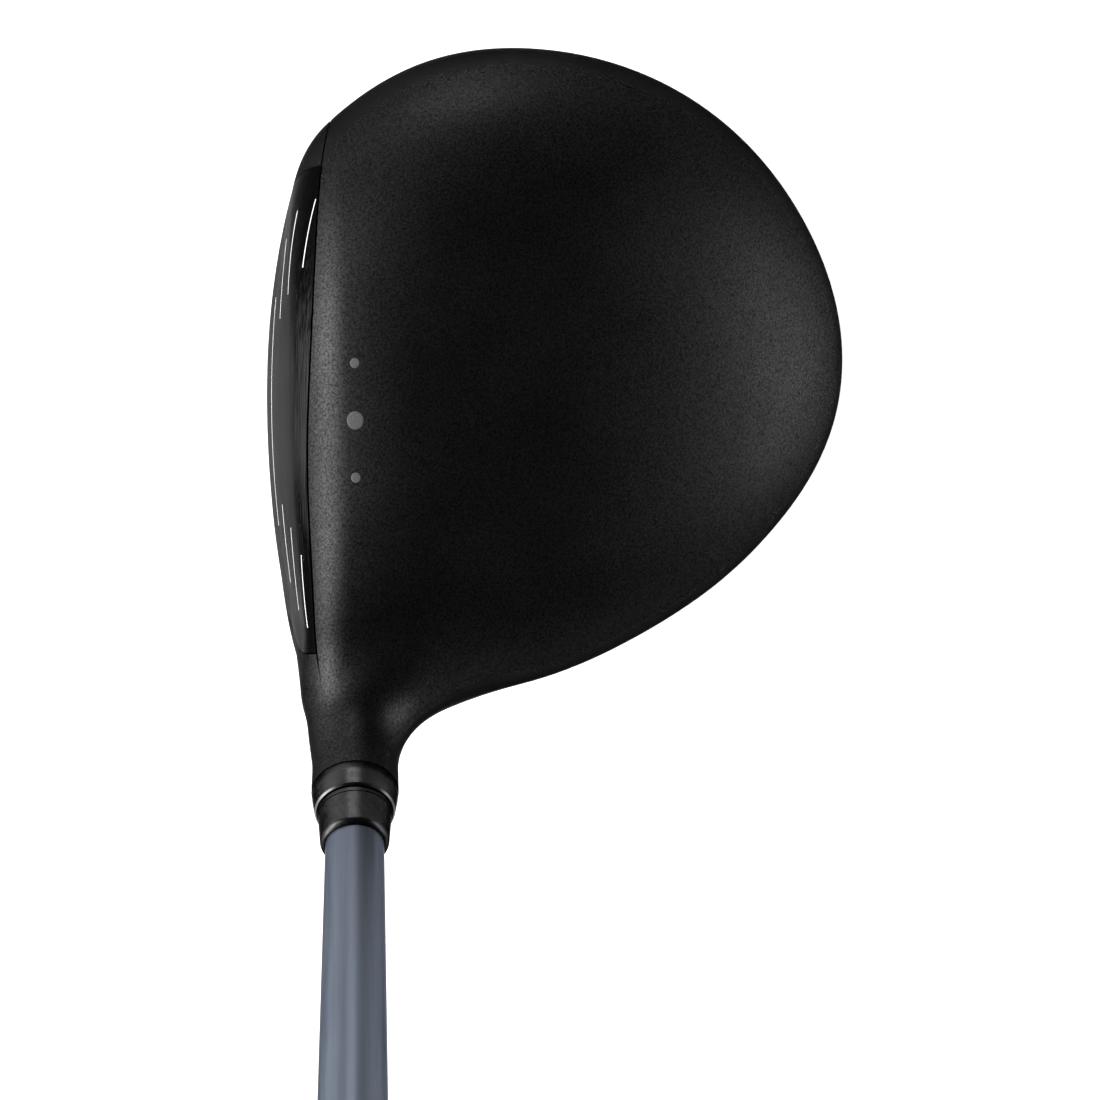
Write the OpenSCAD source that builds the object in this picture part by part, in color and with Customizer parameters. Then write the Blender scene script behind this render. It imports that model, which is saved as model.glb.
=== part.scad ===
// Golf driver with a detachable head. Millimetres, +Z up, the club at address.
// The origin is where the shaft axis meets the ground. The toe points to -X,
// the face looks to -Y, and the shaft rises towards +X in the plane y = 0.

/* [Head] */
// Height of the crown above the ground, near the alignment dots
crown_top = 59.5; // [57:0.5:62]
// Distance from the shaft plane back to the plane the face is measured in
face_setback = 14.8; // [14:0.1:16]
// Loft of the face, degrees
loft = 12.5; // [10.5:0.5:13.5]
// Radius of the face from heel to toe
bulge_radius = 230; // [200:5:360]
// Radius of the face from crown to sole
roll_radius = 330; // [280:10:380]
// Thickness of the face plate
face_thick = 2.8; // [2.4:0.1:3.2]
// Thickness of the crown skin
crown_thick = 1.2; // [1.0:0.1:1.4]
// Thickness of the body casting
body_thick = 1.8; // [1.5:0.1:2.2]

/* [Hosel] */
// Angle between the shaft and the ground, degrees
lie = 59; // [58:0.5:60]
// Outside radius of the hosel
hosel_r = 7.5; // [7.3:0.1:7.8]
// Distance from the origin to the top of the hosel
hosel_top = 70.6; // [69.6:0.2:71.6]
// Radial clearance of the sleeve in the hosel
sleeve_gap = 0.08; // [0.05:0.01:0.1]

/* [Shaft and grip] */
// Distance from the origin to the end of the grip
club_length = 1143; // [1105:1:1168]
// Shaft radius at the ferrule
tip_r = 5.15; // [4.9:0.05:5.2]
// Shaft radius under the grip cap
butt_r = 7.6; // [7.4:0.05:7.7]
// Length of the grip
grip_length = 270; // [255:1:280]

/* [Rear weight] */
// Radius of the weight
weight_r = 7.0; // [6.8:0.1:7.1]
// Tilt of the weight's axis from straight down, degrees
weight_tilt = 22; // [20:1:24]

/* [Hidden] */
$fn = 48;
gap = 0.3; // between bodies that move past each other
slip = 0.08; // radial running fit

// Head outline at the rim: radii from the centre, every 20 degrees from the heel side.
head_c = [-37, 36];
rim_radii = [58.4, 54, 53.4, 55.5, 59.2, 61, 61.2, 61.8, 62.5, 63.3, 64.1, 63, 62.2, 62.1, 63, 72.5, 85, 68.6];
rim_height = 28;
face_c = [-30.5, 30]; // x and z of the face's centre
bulge_fade = 0.026; // share of the bulge lost with each millimetre of height
front_steps = 44; // sectors across the face, close together at its two ends
rear_steps = 56; // sectors round the rest of the rim
plate_q = 0.58; // share of the outline covered by the sole plate
sole_lift = 0.6; // thickness of the sole plate

// Stations along the shaft axis, measured from the origin.
seat_low = 41;
seat_high = 44;
sleeve_low = 44.5;
shaft_low = 53.5;
ring_low = hosel_top + gap;
ring_high = ring_low + 5.1;
flange_high = ring_high + gap + 0.8;
ferrule_high = flange_high + 7.2;
sleeve_r = 5.95;
port_r = 5.6;
port_low = 2;
port_high = 28.5;
screw_r = 2.5;
screw_head_low = 35.2;
shaft_high = club_length - 4;
grip_low = club_length - grip_length;
weight_c = [-38, 74, 10.5]; // where the weight's axis meets the sole

// ---- outline and surface functions ----

// A smooth closed curve through evenly spaced radii.
function knot(i) = rim_radii[(i + len(rim_radii)) % len(rim_radii)];
function cubic(a, b, c, d, t) =
    0.5 * (2 * b + (c - a) * t + (2 * a - 5 * b + 4 * c - d) * t * t + (3 * b - a - 3 * c + d) * t * t * t);
function rim_r(a) =
    let (s = ((a % 360) + 360) % 360 / 20, i = floor(s))
    cubic(knot(i - 1), knot(i), knot(i + 1), knot(i + 2), s - i);
function rim_z(a) = rim_height + 3 * cos(a + 30);

// The face surface, as the y of a point given by its x and z.
function face_y(x, z) =
    -face_setback + (z - face_c[1]) * tan(loft)
    + pow(x - face_c[0], 2) / (2 * bulge_radius) * (1 - bulge_fade * min(max(z - face_c[1], -5), 22))
    + pow(z - face_c[1], 2) / (2 * roll_radius);

// The crown at azimuth a and share q of the way to the rim, t below its outer skin.
function crown_full(x, y) = crown_top - 0.17 * (y - 15) - 0.05 * max(x + 30, 0);
function crown_at(a, q, t = 0) =
    let (r = q * (rim_r(a) - t), x = head_c[0] + r * cos(a), y = head_c[1] + r * sin(a),
         f = pow(max(1 - pow(q, 2.4), 0), 0.6))
    [x, y, rim_z(a) * (1 - f) + (crown_full(x, y) - t) * f];

// The sole and skirt, t above the outer skin.
function sole_flat(x, y) =
    sole_lift + (y > 8 ? 0.0016 : 0.003) * pow(y - 8, 2) + 0.0009 * pow(x + 35, 2);
function sole_at(a, q, t = 0) =
    let (r = q * (rim_r(a) - t), x = head_c[0] + r * cos(a), y = head_c[1] + r * sin(a),
         f = 1 - pow(max(1 - pow(q, 3), 0), 0.6))
    [x, y, (sole_flat(x, y) + t) * (1 - f) + rim_z(a) * f];
function skin_at(top, a, q, t) = top ? crown_at(a, q, t) : sole_at(a, q, t);

// How far out the skin reaches before the back of the face cuts it off.
function behind_face(p, d) = p[1] > face_y(p[0], p[2]) + d;
function cut_q(top, a, t, d, low = 0.1, high = 1, n = 18) =
    behind_face(skin_at(top, a, 1, t), d) && n == 18 ? 1
    : n == 0 ? (low + high) / 2
    : let (m = (low + high) / 2)
      behind_face(skin_at(top, a, m, t), d) ? cut_q(top, a, t, d, m, high, n - 1)
                                            : cut_q(top, a, t, d, low, m, n - 1);

// The two azimuths at which the face's back meets the rim, and every azimuth of a ring.
function corner(back, front, n = 20) =
    let (m = (back + front) / 2)
    n == 0 ? m
    : behind_face(sole_at(m, 1), face_thick) ? corner(m, front, n - 1) : corner(back, m, n - 1);
function azimuths() =
    let (toe = corner(180, 270), heel = corner(360, 270))
    concat([for (i = [0:front_steps]) toe + (heel - toe) * (1 - cos(180 * i / front_steps)) / 2],
           [for (i = [1:rear_steps - 1]) heel + (toe + 360 - heel) * i / rear_steps]);

// ---- meshes ----

// Faces of a patch of rings wound round an axis: ring 0 is the centre point.
function ring_index(k, j, base, n) = k == 0 ? base : base + 1 + (k - 1) * n + j % n;
function cap_faces(rings, n, base, flip) = [
    for (j = [0:n - 1]) let (f = [base, ring_index(1, j, base, n), ring_index(1, j + 1, base, n)])
        flip ? [f[0], f[2], f[1]] : f,
    for (k = [1:rings - 1], j = [0:n - 1], h = [0, 1])
        let (a = ring_index(k, j, base, n), b = ring_index(k + 1, j, base, n),
             c = ring_index(k + 1, j + 1, base, n), d = ring_index(k, j + 1, base, n),
             f = h == 0 ? [a, b, c] : [a, c, d])
        flip ? [f[0], f[2], f[1]] : f
];
function edge_faces(rings, n, base, flip) = [
    for (j = [0:n - 1], h = [0, 1])
        let (a = ring_index(rings, j, 0, n), b = ring_index(rings, j + 1, 0, n),
             c = ring_index(rings, j + 1, base, n), d = ring_index(rings, j, base, n),
             f = h == 0 ? [a, c, b] : [a, d, c])
        flip ? f : [f[0], f[2], f[1]]
];

// A closed shell from two stacks of rings, outer and inner, each starting at a centre point.
module ring_shell(outer, inner, rings, n, flip) {
    base = len(outer);
    polyhedron(
        points = concat(outer, inner),
        faces = concat(cap_faces(rings, n, 0, flip), cap_faces(rings, n, base, !flip),
                       edge_faces(rings, n, base, flip))
    );
}

// One skin of the crown or sole, as a stack of rings out to the rim or the face's back.
function skin_rings(top, t, d, from, rings) =
    let (az = azimuths(), n = len(az), cuts = [for (a = az) cut_q(top, a, t, d)])
    concat(
        [skin_at(top, 0, 0, t)],
        [for (k = [1:rings], j = [0:n - 1])
            let (s = sin(90 * k / rings), q = from == 0 ? cuts[j] * s
                 : k <= 5 ? from * k / 5 : from + (cuts[j] - from) * sin(90 * (k - 5) / (rings - 5)))
            skin_at(top, az[j], q, t)]
    );

module crown_skin() {
    rings = 12;
    ring_shell(skin_rings(true, 0, face_thick, 0, rings),
               skin_rings(true, crown_thick, face_thick, 0, rings), rings, len(azimuths()), true);
}

module body_skin() {
    rings = 12;
    ring_shell(skin_rings(false, 0, face_thick, plate_q, rings),
               skin_rings(false, body_thick, face_thick, plate_q, rings), rings, len(azimuths()), false);
}

module plate_skin() {
    rings = 5;
    az = azimuths();
    function layer(t) = concat(
        [skin_at(false, 0, 0, 0) + [0, 0, t]],
        [for (k = [1:rings], a = az) skin_at(false, a, plate_q * k / rings, 0) + [0, 0, t]]
    );
    ring_shell(layer(-sole_lift), layer(0), rings, len(az), false);
}

// The outline of the face's back, as x and z: over the crown, then back under the sole.
function face_loop() =
    let (az = azimuths(), n = front_steps,
         up = [for (j = [0:n]) crown_at(az[j], cut_q(true, az[j], 0, face_thick))],
         down = [for (j = [n - 1:-1:1]) sole_at(az[j], cut_q(false, az[j], 0, face_thick))])
    [for (p = concat(up, down)) [p[0], p[2]]];
function face_point(p, s, d) =
    let (x = face_c[0] + s[0] * (p[0] - face_c[0]), z = face_c[1] + s[1] * (p[1] - face_c[1]))
    [x, face_y(x, z) + d, z];

insert_s = [0.8, 0.92]; // share of the face's width and height covered by the insert
module face_insert_skin() {
    loop = face_loop();
    n = len(loop);
    rings = 8;
    function layer(d) = concat(
        [face_point(face_c, insert_s, d)],
        [for (k = [1:rings], j = [0:n - 1]) face_point(loop[j], insert_s * k / rings, d)]
    );
    ring_shell(layer(0), layer(face_thick), rings, n, true);
}

// The frame round the insert: a closed band with a rounded outer edge.
module face_frame_skin() {
    loop = face_loop();
    n = len(loop);
    inner = 0.03;
    flat = 0.3;
    profile = [
        [inner, 0], [flat, 0],
        for (b = [15:15:90]) [flat + (1 - flat) * sin(b), 0.85 * face_thick * (1 - cos(b))],
        for (s = [1, 0.8, 0.5]) [s, face_thick],
        [inner, face_thick]
    ];
    m = len(profile);
    polyhedron(
        points = [for (p = profile, j = [0:n - 1])
            face_point(loop[j], insert_s + p[0] * ([1, 1] - insert_s), p[1])],
        faces = [for (i = [0:m - 1], j = [0:n - 1], h = [0, 1])
            let (a = i * n + j, b = ((i + 1) % m) * n + j,
                 c = ((i + 1) % m) * n + (j + 1) % n, d = i * n + (j + 1) % n)
            h == 0 ? [a, c, b] : [a, d, c]]
    );
}

// A thin bar that follows the face, from x0 to x1 at height z, between two depths.
module face_bar(x0, x1, z, w, front, back) {
    n = 6;
    polyhedron(
        points = [for (i = [0:n], s = [[-w, front], [w, front], [w, back], [-w, back]])
            let (x = x0 + (x1 - x0) * i / n) [x, face_y(x, z + s[0]) + s[1], z + s[0]]],
        faces = concat(
            [[0, 1, 2], [0, 2, 3], [4 * n, 4 * n + 2, 4 * n + 1], [4 * n, 4 * n + 3, 4 * n + 2]],
            [for (i = [0:n - 1], s = [0:3], h = [0, 1])
                let (a = 4 * i + s, b = 4 * i + (s + 1) % 4, c = b + 4, d = a + 4)
                h == 0 ? [a, d, c] : [a, c, b]]
        )
    );
}
// Score lines: the long one at the bottom, and three pairs above it.
score_rows = [[17.5, 32.5], [21.5, 37], [26, 39.5]]; // near and far ends of each pair
score_pitch = 7.6;
score_low = 25.5;
module score_bars(w, front, back) {
    face_bar(face_c[0] - 22, face_c[0] + 22, score_low, w, front, back);
    for (i = [1:3], side = [-1, 1]) {
        near = score_rows[i - 1][0];
        far = score_rows[i - 1][1];
        mid = face_c[0] + side * (near + far) / 2;
        face_bar(mid - (far - near) / 2, mid + (far - near) / 2, score_low + i * score_pitch, w, front, back);
    }
}

// ---- placement ----

module on_axis(d = 0) rotate([0, 90 - lie, 0]) translate([0, 0, d]) children();

// The sole's surface over a point of the ground, and its outward normal there.
function sole_over(x, y) =
    let (a = atan2(y - head_c[1], x - head_c[0]), r = norm([x - head_c[0], y - head_c[1]]))
    sole_at(a, min(r / rim_r(a), 1))[2];
function sole_normal(x, y) =
    let (n = [(sole_over(x + 1, y) - sole_over(x - 1, y)) / 2, (sole_over(x, y + 1) - sole_over(x, y - 1)) / 2, -1])
    n / norm(n);
// Distance from the origin at which the shaft axis leaves the sole.
function sole_exit(low = 2, high = 20, n = 14) =
    let (m = (low + high) / 2)
    n == 0 ? m
    : m * sin(lie) > sole_over(m * cos(lie), 0) ? sole_exit(low, m, n - 1) : sole_exit(m, high, n - 1);

module on_weight_axis(d = 0)
    translate(weight_c) rotate([weight_tilt, 0, 0]) translate([0, 0, d]) children();

// The space outside the sole where the shaft axis leaves it.
module below_port() {
    d = sole_exit();
    n = sole_normal(d * cos(lie), 0);
    on_axis(d) rotate([0, lie - 90, 0]) rotate([0, acos(n[2]), atan2(n[1], n[0])])
        translate([-30, -30, 0]) cube([60, 60, 30]);
}

// A tube or turned piece from [radius, distance] points.
module turned(points) on_axis() rotate_extrude() polygon(points);
module tube(low, high, outer, inner)
    turned([[inner, low], [outer, low], [outer, high], [inner, high]]);

function shaft_r(d) = tip_r + (butt_r - tip_r) * (d - ferrule_high) / (shaft_high - ferrule_high);

module hosel_outside() {
    on_axis(port_low) cylinder(r = hosel_r, h = hosel_top - port_low);
    hull() {
        on_axis(40) cylinder(r = hosel_r - 1.2, h = 14, $fn = 32);
        translate([5.5, 18.5, 31]) sphere(r = 10.5, $fn = 32);
    }
}

// ---- parts of the head ----

module crown_shell() color([0.03, 0.03, 0.035]) difference() {
    crown_skin();
    hosel_outside();
    on_axis(20) translate([0, -20, 0]) cube([30, 20 + hosel_r, 40]);
    for (i = [-1:1]) dot_place(i) translate([0, 0, -0.3]) cylinder(r = dot_r(i) + 0.02, h = 3);
}

function dot_r(i) = i == 0 ? 1.6 : 0.9;
module dot_place(i)
    translate([-28.9 + 10.1 * i, 0.2, crown_at(atan2(0.2 - head_c[1], -28.9 + 10.1 * i - head_c[0]),
        norm([-28.9 + 10.1 * i - head_c[0], 0.2 - head_c[1]])
        / rim_r(atan2(0.2 - head_c[1], -28.9 + 10.1 * i - head_c[0])))[2]])
        rotate([7, 0, 0]) children();
module alignment_dots() color([0.5, 0.5, 0.5])
    for (i = [-1:1]) dot_place(i) translate([0, 0, -0.29]) cylinder(r = dot_r(i), h = 0.33);

module body_shell() color([0.06, 0.06, 0.065]) difference() {
    body_skin();
    hosel_outside();
    on_weight_axis(-20) cylinder(r = weight_r + 2.2, h = 40);
}

module sole_plate() color([0.1, 0.1, 0.11]) difference() {
    plate_skin();
    hosel_outside();
    on_weight_axis(-20) cylinder(r = weight_r + 2.5, h = 40);
}

module face_insert() color([0.2, 0.2, 0.21]) difference() {
    face_insert_skin();
    hosel_outside();
    score_bars(0.25, -0.5, 0.35);
}
module face_frame() color([0.08, 0.08, 0.085]) difference() {
    face_frame_skin();
    hosel_outside();
    score_bars(0.25, -0.5, 0.35);
}
module score_paint() color([0.9, 0.9, 0.9]) score_bars(0.22, 0.06, 0.33);

module hosel_tube() color([0.05, 0.05, 0.055]) difference() {
    hosel_outside();
    on_axis(seat_high) cylinder(r = sleeve_r + sleeve_gap, h = 60);
    on_axis(seat_low - 1) cylinder(r = screw_r + 0.4, h = 10);
    on_axis(port_high) cylinder(r = 4.7, h = seat_low - port_high);
    on_axis(port_low - 10) cylinder(r = port_r, h = port_high - port_low + 10);
    below_port();
}

module sole_ribs() color([0.3, 0.3, 0.32])
    for (x = [-62, -38, -14]) {
        y0 = 12;
        y1 = 58;
        n = 12;
        low = [for (i = [0:n]) let (y = y0 + (y1 - y0) * i / n, r = norm([x - head_c[0], y - head_c[1]]),
            a = atan2(y - head_c[1], x - head_c[0]))
            [y, sole_at(a, r / rim_r(a))[2] + body_thick + 0.35]];
        translate([x - 0.6, 0, 0]) rotate([90, 0, 90])
            linear_extrude(1.2) polygon(concat(low, [[y1, low[n][1] + 3], [y0, low[0][1] + 6]]));
    }

// ---- rear weight ----

weight_floor = 7.9; // depth of the port
module weight_port() color([0.35, 0.35, 0.37]) on_weight_axis() difference() {
    translate([0, 0, -0.5]) cylinder(r = weight_r + 2.1, h = 14);
    translate([0, 0, -5]) cylinder(r = weight_r + slip, h = 5 + weight_floor);
    cylinder(r = 3 + slip, h = 20);
}
module weight_washer() color([0.1, 0.1, 0.1]) on_weight_axis(weight_floor - 1) difference() {
    cylinder(r = 5.4, h = 0.7);
    translate([0, 0, -1]) cylinder(r = 3 + slip, h = 3);
}
module rear_weight() color([0.5, 0.5, 0.5]) on_weight_axis() difference() {
    union() {
        translate([0, 0, 0.2]) cylinder(r1 = weight_r - 0.5, r2 = weight_r, h = 0.6);
        translate([0, 0, 0.8]) cylinder(r = weight_r, h = weight_floor - 2.1);
        translate([0, 0, 2]) cylinder(r = 3, h = 10.7);
    }
    translate([0, 0, -1]) cylinder(r = 2.6, h = 4.4, $fn = 6);
}

// ---- adapter ----

module hosel_screw() color([0.6, 0.6, 0.62]) difference() {
    union() {
        on_axis(screw_head_low) cylinder(r1 = 3.9, r2 = 4.3, h = 0.6);
        on_axis(screw_head_low + 0.6) cylinder(r = 4.3, h = 3.9);
        on_axis(screw_head_low + 4) cylinder(r = screw_r, h = 12);
    }
    on_axis(screw_head_low - 1) cylinder(r = 2.3, h = 4, $fn = 6);
}
module screw_washer() color([0.1, 0.1, 0.1]) tube(seat_low - 1, seat_low - gap, 4.3, screw_r + slip);

module shaft_sleeve() color([0.72, 0.73, 0.75]) difference() {
    turned([[0, sleeve_low], [sleeve_r - 0.5, sleeve_low], [sleeve_r, sleeve_low + 0.5],
            [sleeve_r, ring_high + gap], [6.6, ring_high + gap], [6.75, ring_high + gap + 0.2],
            [6.6, flange_high], [0, flange_high]]);
    on_axis(shaft_low - 0.3) cylinder(r = tip_r + 0.06, h = 60);
    on_axis(sleeve_low - 1) cylinder(r = screw_r + slip, h = shaft_low - sleeve_low);
}
module tuning_ring() color([0.05, 0.05, 0.055])
    turned([[sleeve_r + slip, ring_low], [hosel_r - 0.3, ring_low], [hosel_r, ring_low + 0.3],
            [7.45, ring_low + 1.6], [7.15, ring_high - 0.6], [6.75, ring_high], [sleeve_r + slip, ring_high]]);

module ferrule() color([0.04, 0.04, 0.045]) {
    inner = tip_r + 0.06;
    turned(concat(
        [[inner, flange_high], [6.4, flange_high], [6.2, flange_high + 2], [5.85, ferrule_high - 1.2]],
        [for (b = [15:15:90]) [inner + 0.1 + (5.75 - inner) * cos(b), ferrule_high - 1.2 + 1.2 * sin(b)]],
        [[inner, ferrule_high]]
    ));
}

module shaft() color([0.25, 0.28, 0.33])
    turned([[2.9, shaft_low], [shaft_r(shaft_low), shaft_low], [shaft_r(shaft_high), shaft_high],
            [butt_r - 1.2, shaft_high], [3.0, shaft_low + 120]]);
module tip_plug() color([0.8, 0.78, 0.7]) on_axis(shaft_low + 2) cylinder(r = 2.85, h = 12);

// ---- grip ----

function grip_r(s) = 9.9 + 3.3 * pow(s, 1.25);
module grip_tape() color([0.9, 0.88, 0.8])
    turned([[shaft_r(grip_low + 6) + 0.02, grip_low + 6], [shaft_r(grip_low + 6) + 0.2, grip_low + 6],
            [shaft_r(shaft_high - 1) + 0.2, shaft_high - 1], [shaft_r(shaft_high - 1) + 0.02, shaft_high - 1]]);
module grip() color([0.05, 0.05, 0.05])
    turned(concat(
        [[shaft_r(grip_low) + 0.25, grip_low], [grip_r(0) - 1, grip_low]],
        [for (b = [30:30:90]) [grip_r(0) - 1 + sin(b), grip_low + 1 - cos(b)]],
        [for (i = [1:8]) [grip_r(i / 8), grip_low + 1 + (grip_length - 5) * i / 8]],
        [[shaft_r(shaft_high) + 0.25, club_length - 4]]
    ));
module grip_cap() color([0.06, 0.06, 0.06])
    turned([[2, shaft_high + 0.05], [grip_r(1), shaft_high + 0.05], [grip_r(1), club_length - 1.6],
            [grip_r(1) - 0.5, club_length - 0.5], [grip_r(1) - 1.6, club_length], [2, club_length]]);

grip();
grip_cap();
grip_tape();
shaft();
tip_plug();
ferrule();
shaft_sleeve();
tuning_ring();
hosel_tube();
body_shell();
crown_shell();
alignment_dots();
face_insert();
face_frame();
score_paint();
sole_plate();
sole_ribs();
weight_port();
weight_washer();
rear_weight();
hosel_screw();
screw_washer();
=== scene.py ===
"""Golf driver: the visual model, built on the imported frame. Sizes below are in millimetres."""

import math

import bpy
import numpy as np
from mathutils import Matrix, Vector


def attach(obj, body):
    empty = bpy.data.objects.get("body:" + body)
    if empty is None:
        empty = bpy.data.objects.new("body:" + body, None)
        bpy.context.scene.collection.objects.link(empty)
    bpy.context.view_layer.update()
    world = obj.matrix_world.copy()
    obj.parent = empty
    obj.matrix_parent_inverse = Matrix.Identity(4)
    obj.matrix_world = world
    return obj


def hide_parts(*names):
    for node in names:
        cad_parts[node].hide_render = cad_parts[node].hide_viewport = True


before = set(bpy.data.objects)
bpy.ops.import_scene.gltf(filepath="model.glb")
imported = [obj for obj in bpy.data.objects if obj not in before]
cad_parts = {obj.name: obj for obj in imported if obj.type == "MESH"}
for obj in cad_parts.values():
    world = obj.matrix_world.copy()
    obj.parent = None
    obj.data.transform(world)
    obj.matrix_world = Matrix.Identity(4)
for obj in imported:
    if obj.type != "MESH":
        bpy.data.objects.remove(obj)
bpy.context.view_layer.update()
MM = 0.001

# ---------------------------------------------------------------- sizes

LIE = math.radians(59)
AXIS = np.array([math.cos(LIE), 0.0, math.sin(LIE)])
SIDE = np.array([0.0, 1.0, 0.0])
UP = np.array([-math.sin(LIE), 0.0, math.cos(LIE)])

HEAD_C = np.array([-37.0, 36.0])
# Radii of the head's outline, every 20 degrees from the heel side, as in part.scad. They come from
# least-squares fits to the outline seen in the photograph, rounded, with a few moved a little.
RIM_RADII = np.array(
    [58.4, 54, 53.4, 55.5, 59.2, 61, 61.2, 61.8, 62.5, 63.3, 64.1, 63, 62.2, 62.1, 63, 72.5, 85, 68.6]
)
RIM_HEIGHT = 28.0
CROWN_TOP = 59.5
SOLE_LIFT = 0.6
FACE_C = (-30.5, 30.0)
FACE_SETBACK = 14.85
LOFT = math.tan(math.radians(12.5))
BULGE = 230.0
FLATTER = 0.026  # share of the bulge lost with each millimetre of height
ROLL = 330.0
HOSEL_R = 7.5
HOSEL_EXTRA = 0.18  # how far the hosel's skin stands outside the CAD tube
STEM_BLEND = 5.4  # fillets between the hosel and its root, and between both and the head
HEEL_BLEND = 9.6
HOSEL_TOP = 70.6
CORNER_LOW = 3.4  # how gently the face turns into the sole
CORNER_HIGH = 7.0  # and into the crown
ROOT_TOP = 56.8  # stations and radii of the cone that spreads the hosel into the heel
ROOT_END = np.array([5.5, 18.5, 31.0])
ROOT_THIN = 6.0
ROOT_WIDE = 12.0
PLATE_Q = 0.58
WEIGHT_R = 7.0
WEIGHT_C = np.array([-38.0, 74.0, 10.5])
WEIGHT_TILT = math.radians(22)
CLUB_LENGTH = 1143.0
TIP_R = 5.0
BUTT_R = 7.6
GRIP_LENGTH = 270.0

RING_LOW = HOSEL_TOP + 0.3
RING_HIGH = RING_LOW + 5.1
FLANGE_HIGH = RING_HIGH + 1.1
FERRULE_HIGH = FLANGE_HIGH + 7.2
SLEEVE_LOW = 44.5
SLEEVE_R = 5.95
SHAFT_LOW = 53.5
SHAFT_HIGH = CLUB_LENGTH - 4
GRIP_LOW = CLUB_LENGTH - GRIP_LENGTH

# ---------------------------------------------------------------- the head's surface


def spline_slopes(values):
    """Slopes of the smooth closed curve through evenly spaced values."""
    n = len(values)
    system = 4 * np.eye(n) + np.roll(np.eye(n), 1, 0) + np.roll(np.eye(n), -1, 0)
    return np.linalg.solve(system, 3 * (np.roll(values, -1) - np.roll(values, 1)))


RIM_SLOPES = spline_slopes(RIM_RADII)


def rim_r(a):
    """Radius of the outline at azimuth a, in degrees."""
    s = np.mod(a, 360) / (360 / len(RIM_RADII))
    i = np.floor(s).astype(int) % len(RIM_RADII)
    j = (i + 1) % len(RIM_RADII)
    t = s - np.floor(s)
    p, q, m, n = RIM_RADII[i], RIM_RADII[j], RIM_SLOPES[i], RIM_SLOPES[j]
    return p + t * m + t**2 * (3 * (q - p) - 2 * m - n) + t**3 * (2 * (p - q) + m + n)


def rim_z(a):
    return RIM_HEIGHT + 3 * np.cos(np.radians(a + 30))


def face_y(x, z):
    share = 1 - FLATTER * np.clip(z - FACE_C[1], -5, 22)
    bulge = share * (x - FACE_C[0]) ** 2 / (2 * BULGE)
    roll = (z - FACE_C[1]) ** 2 / (2 * ROLL)
    return -FACE_SETBACK + (z - FACE_C[1]) * LOFT + bulge + roll


def crown_full(x, y):
    return CROWN_TOP - 0.17 * (y - 15) - 0.05 * smooth_max(x + 30, 0, 6)


def sole_flat(x, y):
    curve = np.where(y > 8, 0.0016, 0.003)
    return SOLE_LIFT + curve * (y - 8) ** 2 + 0.0009 * (x + 35) ** 2


def smooth_max(a, b, k):
    h = np.clip(0.5 + 0.5 * (a - b) / k, 0, 1)
    return b * (1 - h) + a * h + k * h * (1 - h)


def smooth_min(a, b, k):
    return -smooth_max(-a, -b, k)


def polar(x, y):
    dx, dy = x - HEAD_C[0], y - HEAD_C[1]
    a = np.degrees(np.arctan2(dy, dx))
    return a, np.hypot(dx, dy) / rim_r(a)


def above_rim(p):
    a, _ = polar(p[..., 0], p[..., 1])
    return p[..., 2] - rim_z(a)


def dome(p, top):
    """Negative inside the pear-shaped head, zero on it. The crown's formula holds where top is true."""
    x, y, z = p[..., 0], p[..., 1], p[..., 2]
    a, q = polar(x, y)
    rim = rim_z(a)
    high = np.maximum(z - rim, 0) / np.maximum(crown_full(x, y) - rim, 4)
    low = np.maximum(rim - z, 0) / np.maximum(rim - sole_flat(x, y), 4)
    return np.where(top, high ** (5 / 3) + q**2.4, low ** (5 / 3) + q**3) - 1


def gradient(field, p, h=0.05):
    out = np.empty(p.shape)
    for i in range(3):
        step = np.zeros(3)
        step[i] = h
        out[..., i] = (field(p + step) - field(p - step)) / (2 * h)
    return out


def dome_distance(p):
    top = above_rim(p) > 0
    g = dome(p, top)
    slope = np.linalg.norm(gradient(lambda s: dome(s, top), p, 0.2), axis=-1)
    return np.clip(g / np.maximum(slope, 0.008), -30, 30)


def along(p):
    return p @ AXIS


def from_axis(p):
    return np.linalg.norm(p - np.multiply.outer(along(p), AXIS), axis=-1)


def root(p):
    """A cone that spreads the hosel into the heel, towards the rear."""
    top, reach = ROOT_TOP * AXIS, ROOT_END - ROOT_TOP * AXIS
    share = np.clip((p - top) @ reach / (reach @ reach), 0, 1)
    off = p - top - share[..., None] * reach
    return np.linalg.norm(off, axis=-1) - (ROOT_THIN + (ROOT_WIDE - ROOT_THIN) * share)


def head_field(p):
    """Roughly the distance to the outside of head and hosel together."""
    face = (face_y(p[..., 0], p[..., 2]) - p[..., 1]) * 0.98
    share = np.clip((p[..., 2] - 26) / 16, 0, 1)
    corner = CORNER_LOW + (CORNER_HIGH - CORNER_LOW) * share**2 * (3 - 2 * share)
    body = smooth_max(dome_distance(p), face, corner)
    hosel = from_axis(p) - (HOSEL_R + HOSEL_EXTRA)
    hosel = np.maximum(hosel, 16 - along(p))
    stem = smooth_min(hosel, root(p), STEM_BLEND)
    return smooth_min(body, stem, HEEL_BLEND)


def project(p, steps=4):
    """Moves points on to the head's outside."""
    for _ in range(steps):
        g = gradient(head_field, p)
        f = head_field(p)
        p = p - (f / np.maximum((g**2).sum(-1), 1e-6))[..., None] * g
    return p


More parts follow.
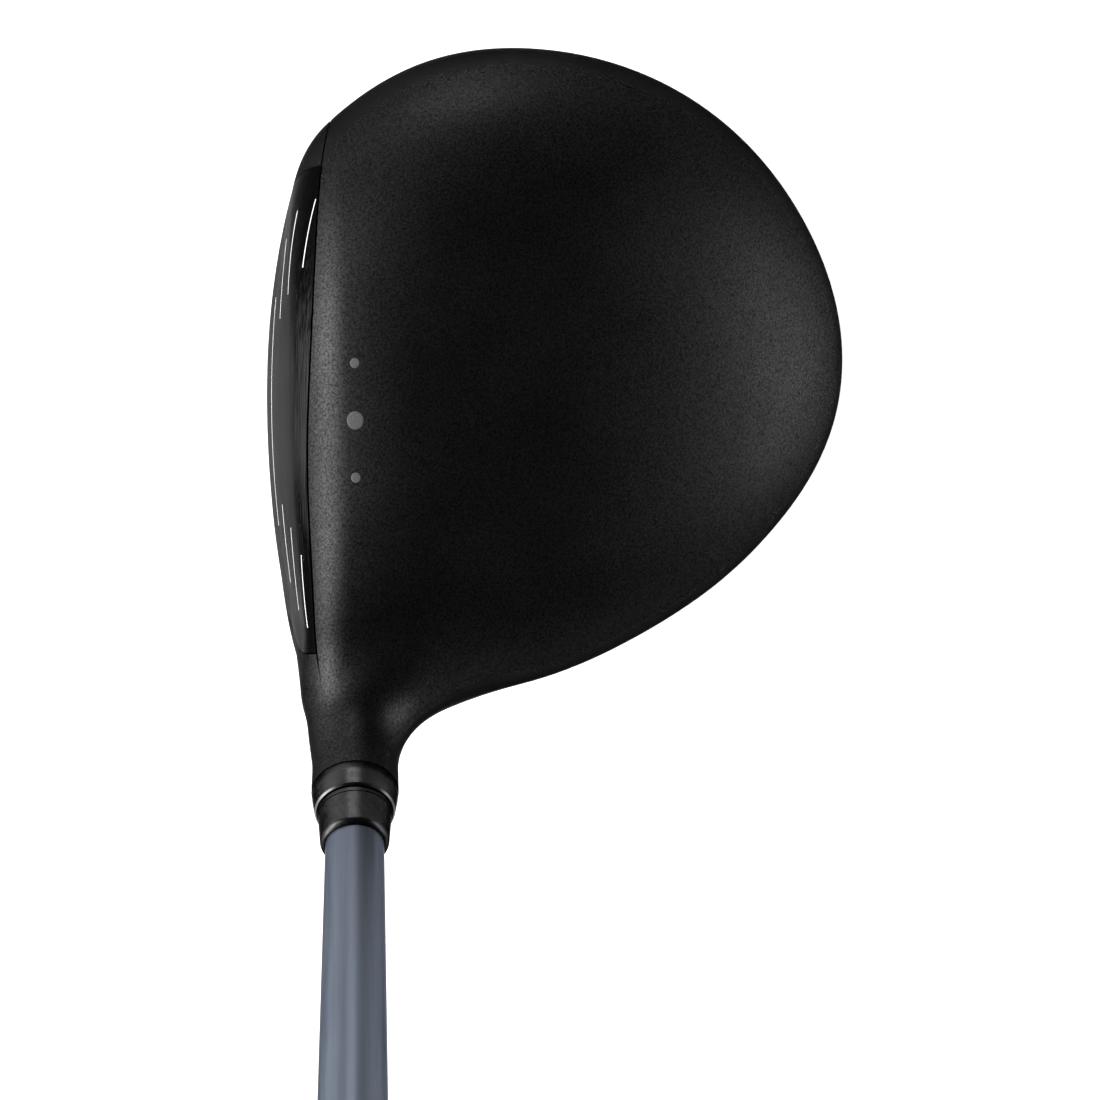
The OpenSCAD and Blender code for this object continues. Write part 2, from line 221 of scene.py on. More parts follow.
def contour(field, low, high, cell):
    """Surface nets: the quads of field = 0 in a box."""
    axes = [np.arange(low[i], high[i] + cell, cell) for i in range(3)]
    grid = np.stack(np.meshgrid(*axes, indexing="ij"), -1)
    f = field(grid)
    inside = f < 0
    shape = np.array(f.shape) - 1
    total = np.zeros((*shape, 3))
    count = np.zeros(tuple(shape))
    corners = [(i, j, k) for i in (0, 1) for j in (0, 1) for k in (0, 1)]
    for c in corners:
        for axis in range(3):
            if c[axis]:
                continue
            d = list(c)
            d[axis] = 1
            a = tuple(slice(c[i], c[i] + shape[i]) for i in range(3))
            b = tuple(slice(d[i], d[i] + shape[i]) for i in range(3))
            cross = inside[a] != inside[b]
            t = np.where(cross, f[a] / np.where(cross, f[a] - f[b], 1), 0)
            point = grid[a] + t[..., None] * (grid[b] - grid[a])
            total += np.where(cross[..., None], point, 0)
            count += cross
    used = count > 0
    index = np.full(tuple(shape), -1)
    index[used] = np.arange(used.sum())
    points = total[used] / count[used][:, None]
    quads = []
    for axis in range(3):
        u, v = (axis + 1) % 3, (axis + 2) % 3
        first = [slice(1, -1)] * 3
        second = [slice(1, -1)] * 3
        first[axis] = slice(0, -1)
        second[axis] = slice(1, None)
        a, b = inside[tuple(first)], inside[tuple(second)]
        for leaving in (True, False):
            at = np.argwhere(a & ~b if leaving else ~a & b)
            at[:, u] += 1
            at[:, v] += 1
            ring = []
            for du, dv in ((-1, -1), (0, -1), (0, 0), (-1, 0)):
                c = at.copy()
                c[:, u] += du
                c[:, v] += dv
                ring.append(index[tuple(c.T)])
            quad = np.stack(ring, -1)
            quads.append(quad if leaving else quad[:, ::-1])
    return points, np.concatenate(quads)


def relax(points, quads, rounds):
    """Evens out the spacing of the points, which stay on the surface."""
    for _ in range(rounds):
        total = np.zeros_like(points)
        count = np.zeros(len(points))
        for i in range(4):
            a, b = quads[:, i], quads[:, (i + 1) % 4]
            for s, d in ((a, b), (b, a)):
                np.add.at(total, s, points[d])
                np.add.at(count, s, 1)
        mean = total / np.maximum(count, 1)[:, None]
        points = project(points + 0.5 * (mean - points), 2)
    return points


def keep(points, tris, side):
    """The part of a triangle mesh where side is positive, cut exactly along side = 0."""
    value = side(points)
    value = np.where(np.abs(value) < 1e-4, 1e-4, value)
    positive = value > 0
    n_pos = positive[tris].sum(1)
    out = [tris[n_pos == 3]]
    new_points = []
    made = {}

    def crossing(i, j):
        key = (i, j) if i < j else (j, i)
        if key not in made:
            a, b = key
            t = value[a] / (value[a] - value[b])
            made[key] = len(points) + len(new_points)
            new_points.append(points[a] + t * (points[b] - points[a]))
        return made[key]

    extra = []
    for tri in tris[(n_pos == 1) | (n_pos == 2)]:
        ins = [positive[v] for v in tri]
        lone = ins.index(True) if sum(ins) == 1 else ins.index(False)
        a, b, c = tri[lone], tri[(lone + 1) % 3], tri[(lone + 2) % 3]
        ab, ac = crossing(a, b), crossing(a, c)
        if sum(ins) == 1:
            extra.append((a, ab, ac))
        else:
            extra.append((ab, b, c))
            extra.append((ab, c, ac))
    if extra:
        out.append(np.array(extra))
        points = np.concatenate([points, np.array(new_points)])
    tris = np.concatenate(out)
    used, inverse = np.unique(tris, return_inverse=True)
    return points[used], inverse.reshape(-1, 3)


def border(tris):
    """Directed edges that only one triangle has."""
    edges = np.concatenate([tris[:, [0, 1]], tris[:, [1, 2]], tris[:, [2, 0]]])
    have = {tuple(e) for e in edges}
    return np.array([e for e in edges if (e[1], e[0]) not in have])


# ---------------------------------------------------------------- pieces


def mesh_object(name, points, faces, material, normals=None, sharp=35):
    mesh = bpy.data.meshes.new(name)
    mesh.from_pydata((np.asarray(points) * MM).tolist(), [], [list(map(int, f)) for f in faces])
    mesh.update()
    mesh.shade_smooth()
    if normals is not None:
        mesh.normals_split_custom_set_from_vertices(normals.tolist())
    else:
        mesh.set_sharp_from_angle(angle=math.radians(sharp))
    obj = bpy.data.objects.new(name, mesh)
    bpy.context.scene.collection.objects.link(obj)
    mesh.materials.append(material)
    return obj


def skin(name, points, tris, material, body="head", nodes=(), lift=0.0, thick=0.8, slot=None):
    """A piece of the head's skin with a turned-in edge all round."""
    n = gradient(head_field, points)
    n /= np.linalg.norm(n, axis=1)[:, None]
    outer = points + lift * n
    edge = border(tris)
    rim = np.unique(edge)
    place = {v: i for i, v in enumerate(rim)}
    top = len(points)
    bottom = top + len(rim)
    wall_top = outer[rim]
    wall_low = outer[rim] - thick * n[rim]
    side = np.zeros((len(rim), 3))
    for a, b in edge:
        d = points[b] - points[a]
        out = np.cross(d, n[a])
        out /= max(np.linalg.norm(out), 1e-9)
        side[place[a]] += out
        side[place[b]] += out
    side /= np.maximum(np.linalg.norm(side, axis=1), 1e-9)[:, None]
    walls = []
    for a, b in edge:
        i, j = place[a], place[b]
        walls.append((top + j, top + i, bottom + i, bottom + j))
    all_points = np.concatenate([outer, wall_top, wall_low])
    all_normals = np.concatenate([n, side, side])
    faces = [tuple(t) for t in tris] + walls
    obj = mesh_object(name, all_points, faces, material, all_normals)
    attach(obj, body)
    if nodes:
        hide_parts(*nodes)
    return obj


def lathe(name, profile, material, body, nodes=(), segments=96, sharp=35, shape=None,
          band=None):
    """A closed turned piece from (radius, distance along the shaft axis) points.

    band is (first, last, material): the sides of the profile that have another finish.
    """
    pr = np.array(profile, float)
    th = np.linspace(0, 2 * np.pi, segments, endpoint=False)
    r = pr[:, 0][:, None] * np.ones(segments)
    d = pr[:, 1][:, None] * np.ones(segments)
    if shape:
        r = shape(r, d, th[None, :])
    ring = np.cos(th)[None, :, None] * SIDE + np.sin(th)[None, :, None] * UP
    points = (d[..., None] * AXIS + r[..., None] * ring).reshape(-1, 3)
    n = len(pr)
    i = np.arange(n)[:, None]
    j = np.arange(segments)[None, :]
    a = i * segments + j
    b = i * segments + (j + 1) % segments
    c = ((i + 1) % n) * segments + (j + 1) % segments
    e = ((i + 1) % n) * segments + j
    faces = np.stack([a, b, c, e], -1).reshape(-1, 4)
    obj = mesh_object(name, points, faces, material, sharp=sharp)
    if band:
        first, last, finish = band
        obj.data.materials.append(finish)
        for polygon in obj.data.polygons[first * segments:last * segments]:
            polygon.material_index = 1
    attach(obj, body)
    if nodes:
        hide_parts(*nodes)
    return obj


def arc(centre_r, centre_d, radius, start, end, steps=6):
    """Points of a circular fillet in a lathe profile, angles in degrees from outwards."""
    out = []
    for i in range(steps + 1):
        t = math.radians(start + (end - start) * i / steps)
        out.append((centre_r + radius * math.cos(t), centre_d + radius * math.sin(t)))
    return out


# ---------------------------------------------------------------- materials


class Nodes:
    """A small helper around one material's node tree."""

    def __init__(self, name, color, rough, metallic=0.0):
        self.mat = bpy.data.materials.new(name)
        self.mat.use_nodes = True
        self.tree = self.mat.node_tree
        self.shader = self.tree.nodes["Principled BSDF"]
        self.set(Metallic=metallic, Roughness=rough)
        self.set(**{"Base Color": (*color, 1)})
        self.coord = self.tree.nodes.new("ShaderNodeTexCoord").outputs["Object"]

    def set(self, **values):
        for key, value in values.items():
            self.shader.inputs[key].default_value = value

    def link(self, a, b):
        self.tree.links.new(a, b)

    def scaled(self, scale):
        node = self.tree.nodes.new("ShaderNodeMapping")
        node.inputs["Scale"].default_value = scale
        self.link(self.coord, node.inputs["Vector"])
        return node.outputs["Vector"]

    def along_shaft(self, scale):
        """Coordinates with Z along the shaft axis."""
        turn = self.tree.nodes.new("ShaderNodeMapping")
        turn.vector_type = "POINT"
        turn.inputs["Rotation"].default_value = (0, LIE - math.pi / 2, 0)
        self.link(self.coord, turn.inputs["Vector"])
        node = self.tree.nodes.new("ShaderNodeMapping")
        node.inputs["Scale"].default_value = scale
        self.link(turn.outputs["Vector"], node.inputs["Vector"])
        return node.outputs["Vector"]

    def noise(self, vector, scale, detail=3.0, rough=0.55):
        node = self.tree.nodes.new("ShaderNodeTexNoise")
        node.inputs["Scale"].default_value = scale
        node.inputs["Detail"].default_value = detail
        node.inputs["Roughness"].default_value = rough
        self.link(vector, node.inputs["Vector"])
        return node.outputs["Fac"]

    def remap(self, value, low, high, to_low, to_high):
        node = self.tree.nodes.new("ShaderNodeMapRange")
        for key, v in (("From Min", low), ("From Max", high), ("To Min", to_low), ("To Max", to_high)):
            node.inputs[key].default_value = v
        self.link(value, node.inputs["Value"])
        return node.outputs["Result"]

    def ramp(self, value, stops):
        node = self.tree.nodes.new("ShaderNodeValToRGB")
        elements = node.color_ramp.elements
        while len(elements) < len(stops):
            elements.new(0.5)
        for element, (at, color) in zip(elements, stops):
            element.position = at
            element.color = (*color, 1)
        self.link(value, node.inputs["Fac"])
        return node.outputs["Color"]

    def rough_from(self, value, low, high):
        self.link(self.remap(value, 0.3, 0.7, low, high), self.shader.inputs["Roughness"])

    def color_from(self, value, dark, light, low=0.3, high=0.7):
        self.link(self.ramp(value, [(low, dark), (high, light)]), self.shader.inputs["Base Color"])

    def bump(self, value, depth, strength=1.0, base=None):
        node = self.tree.nodes.new("ShaderNodeBump")
        node.inputs["Strength"].default_value = strength
        node.inputs["Distance"].default_value = depth * MM
        self.link(value, node.inputs["Height"])
        if base is not None:
            self.link(base, node.inputs["Normal"])
        self.link(node.outputs["Normal"], self.shader.inputs["Normal"])
        return node.outputs["Normal"]

    def math(self, operation, a, b):
        node = self.tree.nodes.new("ShaderNodeMath")
        node.operation = operation
        for socket, value in zip(node.inputs, (a, b)):
            if isinstance(value, (int, float)):
                socket.default_value = value
            else:
                self.link(value, socket)
        return node.outputs["Value"]


EDGE_TINT = (0.12, 0.12, 0.12, 1)  # keeps satin black dark at grazing angles


def crown_paint():
    m = Nodes("crown_paint", (0.03, 0.03, 0.031), 0.42, 1.0)
    m.set(**{"Specular Tint": EDGE_TINT})
    grain = m.noise(m.coord, 2600, 2)
    cloud = m.noise(m.coord, 60, 3)
    m.color_from(grain, (0.012, 0.012, 0.0125), (0.044, 0.044, 0.045))
    m.rough_from(cloud, 0.44, 0.52)
    m.bump(grain, 0.012, 0.6)
    return m.mat


def body_paint():
    m = Nodes("body_paint", (0.03, 0.03, 0.031), 0.35, 1.0)
    m.set(**{"Specular Tint": EDGE_TINT})
    grain = m.noise(m.coord, 2200, 2)
    m.color_from(grain, (0.02, 0.02, 0.021), (0.045, 0.045, 0.046))
    m.rough_from(m.noise(m.coord, 45, 4), 0.30, 0.42)
    m.bump(grain, 0.01, 0.5)
    return m.mat


def milled_face():
    m = Nodes("milled_face", (0.09, 0.09, 0.095), 0.42, 1.0)
    m.set(**{"Specular Tint": (0.4, 0.4, 0.4, 1)})
    lines = m.noise(m.scaled((90, 2600, 2600)), 1.0, 4, 0.7)
    wide = m.noise(m.scaled((25, 160, 160)), 1.0, 3)
    # Painted shade: the face's colour is made darker towards the toe and the heel, away from FACE_C,
    # standing in for the dimmer reflection there.
    split = m.tree.nodes.new("ShaderNodeSeparateXYZ")
    m.link(m.coord, split.inputs["Vector"])
    off_centre = m.math("ABSOLUTE", m.math("SUBTRACT", split.outputs["X"], FACE_C[0] * MM), 0)
    dark = m.remap(off_centre, 0.008, 0.038, 0, 0.40)
    mixed = m.math("ADD", m.math("MULTIPLY", lines, 0.86), m.math("MULTIPLY", wide, 0.14))
    m.color_from(m.math("SUBTRACT", mixed, dark), (0.005, 0.005, 0.0055), (0.052, 0.052, 0.054))
    m.rough_from(lines, 0.34, 0.52)
    m.bump(lines, 0.02, 0.7)
    return m.mat


def score_white():
    m = Nodes("score_white", (0.8, 0.8, 0.8), 0.55)
    wear = m.noise(m.coord, 900, 4, 0.7)
    m.color_from(wear, (0.62, 0.62, 0.61), (0.86, 0.86, 0.85))
    m.bump(wear, 0.01, 0.5)
    return m.mat


def dot_grey():
    m = Nodes("dot_grey", (0.2, 0.2, 0.2), 0.5)
    ink = m.noise(m.coord, 2500, 2)
    m.color_from(ink, (0.07, 0.07, 0.07), (0.11, 0.11, 0.11))
    m.bump(ink, 0.006, 0.5)
    return m.mat


def carbon_sole():
    """Twill weave under clear lacquer."""
    m = Nodes("carbon_sole", (0.02, 0.02, 0.022), 0.4)
    m.set(**{"Coat Weight": 0.8, "Coat Roughness": 0.08})
    split = m.tree.nodes.new("ShaderNodeSeparateXYZ")
    m.link(m.coord, split.inputs["Vector"])
    tow = 0.0022
    x = m.math("DIVIDE", split.outputs["X"], tow)
    y = m.math("DIVIDE", split.outputs["Y"], tow)
    column = m.math("FLOOR", x, 0)
    row = m.math("FLOOR", y, 0)
    phase = m.math("MODULO", m.math("ADD", m.math("ADD", column, row), 4000), 4)
    over = m.math("LESS_THAN", phase, 1.5)
    warp = m.math("PINGPONG", x, 0.5)
    weft = m.math("PINGPONG", y, 0.5)
    height = m.math("ADD", m.math("MULTIPLY", over, warp),
                    m.math("MULTIPLY", m.math("SUBTRACT", 1, over), weft))
    tone = m.math("ADD", m.math("MULTIPLY", over, 0.5), m.math("MULTIPLY", height, 0.6))
    m.color_from(tone, (0.008, 0.008, 0.009), (0.045, 0.045, 0.048), 0.05, 0.8)
    m.link(m.remap(over, 0, 1, 0.3, 0.5), m.shader.inputs["Roughness"])
    m.bump(height, 0.05, 0.5)
    return m.mat


def turned_metal(name, dark, light, rough, metallic=1.0, edge=(1, 1, 1, 1)):
    """Metal with fine rings left by turning."""
    m = Nodes(name, light, rough, metallic)
    m.set(**{"Specular Tint": edge})
    rings = m.noise(m.along_shaft((60, 60, 9000)), 1.0, 2, 0.6)
    m.color_from(rings, dark, light)
    m.rough_from(m.noise(m.coord, 500, 3), rough - 0.06, rough + 0.08)
    m.bump(rings, 0.006, 0.5)
    return m.mat


def ferrule_plastic():
    m = Nodes("ferrule_plastic", (0.03, 0.03, 0.031), 0.3, 1.0)
    m.set(**{"Specular Tint": EDGE_TINT})
    fine = m.noise(m.coord, 1800, 3)
    m.color_from(fine, (0.03, 0.03, 0.031), (0.045, 0.045, 0.046))
    m.rough_from(m.noise(m.coord, 400, 3), 0.24, 0.38)
    m.bump(fine, 0.006, 0.4)
    return m.mat


def shaft_lacquer():
    m = Nodes("shaft_lacquer", (0.14, 0.17, 0.22), 0.4, 1.0)
    m.set(**{"Specular Tint": (0.25, 0.25, 0.25, 1), "Coat Weight": 0.1, "Coat Roughness": 0.2})
    fibre = m.noise(m.along_shaft((1500, 1500, 60)), 1.0, 4, 0.6)
    m.color_from(fibre, (0.080, 0.093, 0.118), (0.105, 0.120, 0.148))
    m.rough_from(fibre, 0.36, 0.46)
    m.bump(fibre, 0.006, 0.4)
    return m.mat


def grip_rubber():
    m = Nodes("grip_rubber", (0.02, 0.02, 0.02), 0.75)
    pores = m.noise(m.coord, 1400, 4, 0.7)
    m.color_from(pores, (0.012, 0.012, 0.012), (0.032, 0.032, 0.032))
    m.rough_from(m.noise(m.coord, 120, 3), 0.66, 0.86)
    m.bump(pores, 0.08, 0.7)
    return m.mat


def plain_finish(name, dark, light, scale, rough, metallic=0.0, depth=0.02):
    """A moulded or cast surface: mottled colour, uneven gloss and a little relief."""
    m = Nodes(name, light, rough, metallic)
    mottle = m.noise(m.coord, scale, 4, 0.6)
    m.color_from(mottle, dark, light)
    m.rough_from(m.noise(m.coord, scale / 3, 3), rough - 0.08, rough + 0.08)
    m.bump(mottle, depth, 0.6)
    return m.mat


CROWN = crown_paint()
BODY = body_paint()
FACE = milled_face()
SCORE = score_white()
DOT = dot_grey()
CARBON = carbon_sole()
SLEEVE = turned_metal("sleeve_metal", (0.02, 0.02, 0.021), (0.045, 0.045, 0.046), 0.3, 1.0, EDGE_TINT)
RING = turned_metal("ring_black", (0.03, 0.03, 0.031), (0.05, 0.05, 0.051), 0.3, 1.0, EDGE_TINT)
BRIGHT = turned_metal("bright_chamfer", (0.06, 0.06, 0.062), (0.10, 0.10, 0.103), 0.28)
FERRULE = ferrule_plastic()
SHAFT = shaft_lacquer()
RUBBER = grip_rubber()
TAPE = plain_finish("tape_paper", (0.62, 0.58, 0.5), (0.8, 0.77, 0.68), 900, 0.8, 0, 0.05)
FOAM = plain_finish("plug_foam", (0.55, 0.52, 0.42), (0.72, 0.69, 0.6), 1500, 0.85, 0, 0.1)
CAST = plain_finish("bare_casting", (0.17, 0.17, 0.18), (0.30, 0.30, 0.31), 1200, 0.5, 0.9, 0.03)
WEIGHT = turned_metal("weight_metal", (0.24, 0.24, 0.25), (0.4, 0.4, 0.41), 0.32)
STEEL = turned_metal("screw_steel", (0.4, 0.4, 0.42), (0.6, 0.6, 0.62), 0.28)
WASHER = plain_finish("washer_plastic", (0.012, 0.012, 0.012), (0.03, 0.03, 0.03), 1500, 0.55)

NODE_MATERIALS = {
    "hosel_tube": CROWN,
    "sole_ribs": CAST,
    "weight_port": BODY,
    "weight_washer": WASHER,
    "rear_weight": WEIGHT,
    "hosel_screw": STEEL,
    "screw_washer": WASHER,
    "tip_plug": FOAM,
    "grip_tape": TAPE,
}
for node, material in NODE_MATERIALS.items():
    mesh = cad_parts[node].data
    mesh.materials.clear()
    mesh.materials.append(material)

# ---------------------------------------------------------------- the head

CELL = 1.1
points, quads = contour(head_field, (-106, -24, -4), (48, 102, 72), CELL)
points = project(points)
points = relax(points, quads, 3)
tris = np.concatenate([quads[:, [0, 1, 2]], quads[:, [0, 2, 3]]])

SEAM = 0.12  # half the joint line between two pieces
INSERT_Z = 40.0  # the insert's outline is part of an ellipse centred high on the face
INSERT_HALF = (44.8, 41.0)
EDGE = 1.25  # how far behind the face's surface its border runs
EDGE_TOE = 0.06  # how much further back it runs with each millimetre towards the toe
HEEL_EDGE = 10.5  # how near the shaft axis the face's heel end comes


def behind_face(p):
    """Positive behind the face and on the hosel."""
    edge = EDGE + EDGE_TOE * smooth_max(-33 - p[..., 0], 0, 24)
    depth = p[..., 1] - face_y(p[..., 0], p[..., 2]) - edge
    return np.maximum(depth, np.minimum(HEEL_EDGE - from_axis(p), along(p) - 20))


def insert_side(p):
    """Positive inside the face insert's outline."""
    u = (p[..., 0] - FACE_C[0]) / INSERT_HALF[0]
    v = (p[..., 2] - INSERT_Z) / INSERT_HALF[1]
    return (1 - np.sqrt(u**2 + v**2)) * INSERT_HALF[1]


def weight_distance(p):
    axis = np.array([0.0, -math.sin(WEIGHT_TILT), math.cos(WEIGHT_TILT)])
    v = p - WEIGHT_C
    return np.linalg.norm(v - np.multiply.outer(v @ axis, axis), axis=-1)


def plate_side(p):
    _, q = polar(p[..., 0], p[..., 1])
    return (PLATE_Q - q) * 60


def below(p):
    return 20 - p[..., 2]


def joint_line(p):
    """Half the joint line's width: it closes up where the face runs into the hosel."""
    return SEAM * np.clip((from_axis(p) - HEEL_EDGE - 0.4) / 3, 0.02, 1)


def piece(*sides):
    """The part of the head's skin where every side is positive, less half a joint line."""
    out = (points, tris)
    for side in sides:
        out = keep(*out, lambda p, s=side: s(p) - joint_line(p))
    return out


def neg(side):
    return lambda p: -side(p)


def outside_port(p):
    return np.maximum(from_axis(p) - HOSEL_R, p[..., 2] - 26)


def outside_weight(p):
    return np.maximum(weight_distance(p) - WEIGHT_R - 2.1, p[..., 2] - 26)


def hosel_end(p):
    # The skin ends about 0.02 mm above RING_LOW, so that no gap shows under the collar.
    return HOSEL_TOP + 0.2 + SEAM - along(p)


skin("crown_skin", *piece(above_rim, behind_face, hosel_end), CROWN,
     nodes=("crown_shell",), slot="crown_paint")
skin("body_skin", *piece(neg(above_rim), behind_face, outside_port, outside_weight,
                         lambda p: -np.minimum(plate_side(p), below(p))), BODY,
     nodes=("body_shell",), slot="body_paint")
skin("sole_plate_skin", *piece(plate_side, below, outside_port, outside_weight), CARBON,
     nodes=("sole_plate",), lift=0.25, slot="sole_composite")
skin("face_insert_skin", *piece(neg(behind_face), insert_side), FACE,
     nodes=("face_insert",), slot="face_metal")
skin("face_frame_skin", *piece(neg(behind_face), neg(insert_side)), CROWN,
     nodes=("face_frame",), slot="face_metal")

# Score lines: the long one at the bottom, and three pairs above it.
SCORE_LOW = 25.5
SCORE_PITCH = 7.6
SCORE_HALF = 0.17
SCORE_DROOP = 0.0012  # how much a line falls away from the face's centre
PAIRS = [(17.5, 32.5), (21.5, 37), (26, 39.5)]


def face_strip(x0, x1, z, half, lift):
    """A slightly crowned strip that follows the face."""
    n = 24
    cross = [(-half, -0.15), (-half, lift * 0.5), (-half * 0.6, lift), (half * 0.6, lift),
             (half, lift * 0.5), (half, -0.15)]
    m = len(cross)
    along_bar = np.repeat(np.linspace(x0, x1, n + 1), m)
    droop = SCORE_DROOP * (along_bar - FACE_C[0]) ** 2
    high = z + np.tile([c[0] for c in cross], n + 1) - droop
    on = project(np.stack([along_bar, face_y(along_bar, high), high], -1))
    out = gradient(head_field, on)
    out /= np.linalg.norm(out, axis=1)[:, None]
    pts = (on + np.tile([c[1] for c in cross], n + 1)[:, None] * out).tolist()
    faces = []
    for i in range(n):
        for s in range(m):
            a, b = i * m + s, i * m + (s + 1) % m
            faces.append((a, b, b + m, a + m))
    faces.append(tuple(range(m))[::-1])
    faces.append(tuple(n * m + s for s in range(m)))
    return pts, faces


bars = [(FACE_C[0] - 22, FACE_C[0] + 22, SCORE_LOW)]
for row, (near, far) in enumerate(PAIRS):
    z = SCORE_LOW + SCORE_PITCH * (row + 1)
    bars.append((FACE_C[0] - far, FACE_C[0] - near, z))
    bars.append((FACE_C[0] + near, FACE_C[0] + far, z))
pts, faces = [], []
for x0, x1, z in bars:
    p, f = face_strip(x0, x1, z, SCORE_HALF, 0.03)
    faces += [tuple(v + len(pts) for v in q) for q in f]
    pts += p
lines = mesh_object("score_lines", pts, faces, SCORE)
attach(lines, "head")
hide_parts("score_paint")

# Alignment dots: thin pads that follow the crown.
DOT_C = (-28.9, 0.2)
DOT_PITCH = 10.1
DOT_BIG = 1.6
DOT_SMALL = 0.9
pts, faces = [], []
for i in (-1, 0, 1):
    r = DOT_BIG if i == 0 else DOT_SMALL
    cx, cy = DOT_C[0] + DOT_PITCH * i, DOT_C[1]
    first = len(pts)
    rings = [(0.0, 0.035), (0.35, 0.035), (0.7, 0.035), (0.95, 0.035), (1.0, 0.02), (1.0, -0.1)]
    flat = []
    for share, up in rings:
        for j in range(40):
            t = 2 * math.pi * j / 40
            flat.append((cx + r * share * math.cos(t), cy + r * share * math.sin(t), 58.0, up))
    flat = np.array(flat)
    on = project(flat[:, :3].copy(), 6)
    n = gradient(head_field, on)
    n /= np.linalg.norm(n, axis=1)[:, None]
    on = on + flat[:, 3:4] * n
    pts += on.tolist()
    for k in range(len(rings) - 1):
        for j in range(40):
            a, b = first + k * 40 + j, first + k * 40 + (j + 1) % 40
            faces.append((a, a + 40, b + 40, b))
dots = mesh_object("alignment_pads", pts, faces, DOT)
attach(dots, "head")
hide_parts("alignment_dots")

# ---------------------------------------------------------------- adapter, shaft and grip

inner = 6.03
lathe("collar_ring",
      [(inner, RING_LOW), *arc(HOSEL_R - 0.2, RING_LOW + 0.2, 0.2, -90, 0, 3),
       (HOSEL_R, RING_LOW + 1.5), (7.44, RING_LOW + 2.1), (7.0, RING_HIGH - 0.32),
       (6.72, RING_HIGH), (inner, RING_HIGH)],
      RING, "adapter_ring", ("tuning_ring",), segments=160, sharp=20,
      band=(7, 8, BRIGHT))
lathe("sleeve_skin",
      [(2.58, SLEEVE_LOW), (SLEEVE_R - 0.5, SLEEVE_LOW), (SLEEVE_R, SLEEVE_LOW + 0.5),
       (SLEEVE_R, RING_HIGH + 0.3), (6.45, RING_HIGH + 0.3), (6.55, RING_HIGH + 0.4),
       (6.5, FLANGE_HIGH), (TIP_R + 0.06, FLANGE_HIGH), (TIP_R + 0.06, SHAFT_LOW - 0.3),
       (2.58, SHAFT_LOW - 0.3)],
      SLEEVE, "club_shaft", ("shaft_sleeve",), segments=128)

bore = TIP_R + 0.06
lathe("ferrule_skin",
      [(bore, FLANGE_HIGH), (6.3, FLANGE_HIGH), (6.38, FLANGE_HIGH + 0.1), (6.2, FLANGE_HIGH + 2),
       (5.95, FERRULE_HIGH - 1.9), *arc(4.62, FERRULE_HIGH - 1.55, 1.3, 5, 62, 12),
       (bore, FERRULE_HIGH - 0.42)],
      FERRULE, "club_shaft", ("ferrule",), segments=160)


def shaft_r(d):
    return TIP_R + (BUTT_R - TIP_R) * (d - FERRULE_HIGH) / (SHAFT_HIGH - FERRULE_HIGH)


outer = [(shaft_r(d), d) for d in np.linspace(SHAFT_LOW, SHAFT_HIGH, 60)]
lathe("shaft_tube", [(2.9, SHAFT_LOW), *outer, (BUTT_R - 1.2, SHAFT_HIGH), (3.0, SHAFT_LOW + 120)],
      SHAFT, "club_shaft", ("shaft",), segments=128)


def grip_r(s):
    return 9.9 + 3.3 * s**1.25


def grip_pattern(r, d, th):
    """Fine chevron ribs between plain bands at the mouth and the cap."""
    s = (d - GRIP_LOW) / GRIP_LENGTH
    wide = np.clip((s - 0.05) / 0.02, 0, 1) * np.clip((0.96 - s) / 0.02, 0, 1)
    wave = np.abs(np.mod(th / (2 * np.pi) * 12, 1) - 0.5) * 2
    rib = np.clip(np.sin((d + 3.0 * wave) * 2 * np.pi / 3.2) * 1.6, -1, 1)
    return np.where(r > 9, r - 0.16 * wide * (1 + rib), r)


steps = 420
sides = [(grip_r(s), GRIP_LOW + 1 + (GRIP_LENGTH - 5) * s) for s in np.linspace(0, 1, steps)]
lathe("grip_skin",
      [(shaft_r(GRIP_LOW) + 0.25, GRIP_LOW), *arc(grip_r(0) - 1, GRIP_LOW + 1, 1.0, -90, -15, 5), *sides,
       (shaft_r(SHAFT_HIGH) + 0.25, CLUB_LENGTH - 4)],
      RUBBER, "club_shaft", ("grip",), segments=144, shape=grip_pattern)
cap_r = grip_r(1)
lathe("grip_cap_skin",
      [(2, SHAFT_HIGH + 0.05), (cap_r - 0.3, SHAFT_HIGH + 0.05), (cap_r, SHAFT_HIGH + 0.35),
       (cap_r, CLUB_LENGTH - 1.6), *arc(cap_r - 1.6, CLUB_LENGTH - 1.6, 1.6, 0, 90, 8),
       (9.4, CLUB_LENGTH), (9.2, CLUB_LENGTH - 0.25), (8.6, CLUB_LENGTH - 0.25), (8.4, CLUB_LENGTH),
       (2.3, CLUB_LENGTH), (2.0, CLUB_LENGTH - 0.3)],
      RUBBER, "club_shaft", ("grip_cap",), segments=96)

# ---------------------------------------------------------------- stage, light and camera


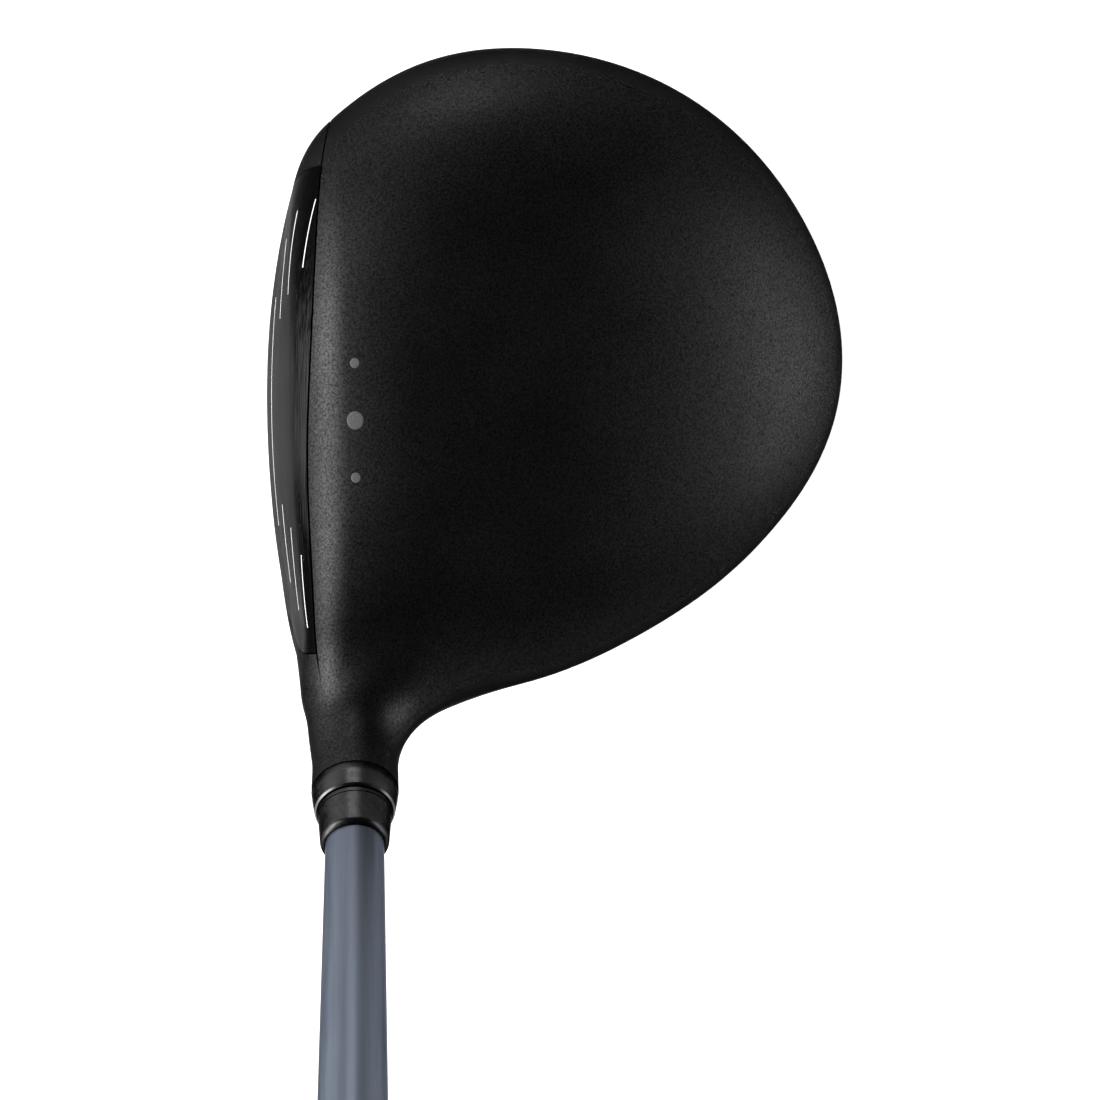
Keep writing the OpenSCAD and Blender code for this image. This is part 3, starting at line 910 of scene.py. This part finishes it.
def area_light(name, place, target, size, power):
    data = bpy.data.lights.new(name, "AREA")
    data.shape = "RECTANGLE"
    data.size, data.size_y = size
    data.energy = power
    light = bpy.data.objects.new(name, data)
    light.location = place
    light.rotation_euler = (Vector(target) - Vector(place)).to_track_quat("-Z", "Y").to_euler()
    bpy.context.scene.collection.objects.link(light)
    return light


floor_m = Nodes("pale_floor", (0.92, 0.92, 0.92), 0.7)
floor_m.set(**{"Emission Color": (1, 1, 1, 1), "Emission Strength": 0.9})
floor_m.color_from(floor_m.noise(floor_m.coord, 3, 3), (0.91, 0.91, 0.91), (0.94, 0.94, 0.94))
bpy.ops.mesh.primitive_plane_add(size=6, location=(0.1, 0, -0.0004))
floor = bpy.context.object
floor.name = "floor"
floor.data.materials.append(floor_m.mat)

area_light("light_front", (-0.02, -0.80, 0.36), (-0.03, 0, 0.03), (1.1, 0.48), 17)
area_light("light_rear", (-0.05, 1.15, 0.32), (-0.03, 0.05, 0.03), (1.1, 0.5), 7.5)
area_light("light_toe", (-1.1, -0.08, 0.06), (0.05, 0, 0.08), (0.5, 0.16), 2.2)

world = bpy.data.worlds.new("studio")
world.use_nodes = True
world.node_tree.nodes["Background"].inputs["Color"].default_value = (1, 1, 1, 1)
world.node_tree.nodes["Background"].inputs["Strength"].default_value = 0.008
bpy.context.scene.world = world
bpy.context.scene.view_settings.view_transform = "Standard"

CAMERA_AT = (-0.0291, 0.0040, 0.3551)
FOCAL_SHARE = 1681 / 1100  # focal length over frame width
TILT = [math.radians(a) for a in (4.47, 5.91, 0.47)]
cam_data = bpy.data.cameras.new("camera")
cam_data.sensor_width = 36
cam_data.lens = 36 * FOCAL_SHARE
cam_data.clip_start = 0.01
cam_data.clip_end = 20
camera = bpy.data.objects.new("camera", cam_data)
bpy.context.scene.collection.objects.link(camera)
straight_down = Matrix(((0, 1, 0), (-1, 0, 0), (0, 0, 1)))
turned = (Matrix.Rotation(TILT[2], 3, "Z") @ Matrix.Rotation(TILT[1], 3, "Y")
          @ Matrix.Rotation(TILT[0], 3, "X") @ straight_down)
camera.matrix_world = Matrix.Translation(CAMERA_AT) @ turned.transposed().to_4x4()
bpy.context.scene.camera = camera
